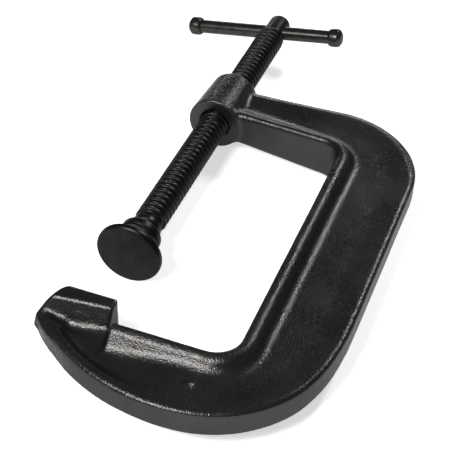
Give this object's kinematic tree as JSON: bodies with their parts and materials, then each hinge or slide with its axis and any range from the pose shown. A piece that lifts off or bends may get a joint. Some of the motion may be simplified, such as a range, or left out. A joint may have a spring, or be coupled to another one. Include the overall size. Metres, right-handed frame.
{
  "type": "c clamp",
  "caption": "Forged C clamp with a tapped boss, a screw with a swivel pad on its ball end, and a sliding T-bar, for holding work against an anvil.",
  "frame": {"origin": "centre of the anvil's face, where the screw's axis meets it", "axes": "+Y along the screw from the anvil to the boss, +X from the screw to the spine of the C, +Z normal to the plane of the C"},
  "size_m": [0.1919, 0.3562, 0.0372],
  "materials": {
    "forged_frame": "drop-forged steel with a satin black finish and a fine grain",
    "black_oxide_screw": "black oxide, rolled thread, slightly polished crests",
    "black_oxide_pad": "black oxide, turned and crimped",
    "black_oxide_bar": "black oxide on drawn rod, satin",
    "black_oxide_cap": "black oxide, pressed cap, satin"
  },
  "bodies": {
    "frame": {"frame": "forged_frame"},
    "swivel_pad": {"swivel_pad": "black_oxide_pad"},
    "screw": {"screw": "black_oxide_screw"},
    "t_bar": {"t_bar": "black_oxide_bar", "bar_cap_free_side": "black_oxide_cap", "bar_cap_spine_side": "black_oxide_cap"}
  },
  "joints": [
    {"name": "screw_travel", "type": "slide", "parent": "frame", "child": "swivel_pad", "axis": [0, 1, 0], "range_m": [-0.047, 0.1092]},
    {"name": "screw_turn", "type": "hinge", "parent": "swivel_pad", "child": "screw", "pos_m": [0, 0.0598, 0], "axis": [0, 1, 0], "range_deg": [-3985, 9270]},
    {"name": "bar_slide", "type": "slide", "parent": "screw", "child": "t_bar", "axis": [0.988, 0, 0.1547], "range_m": [-0.0306, 0.045]}
  ],
  "couplings": [
    {"joint": "screw_travel", "follows": "screw_turn", "m_per_rad": 0.00067376}
  ]
}
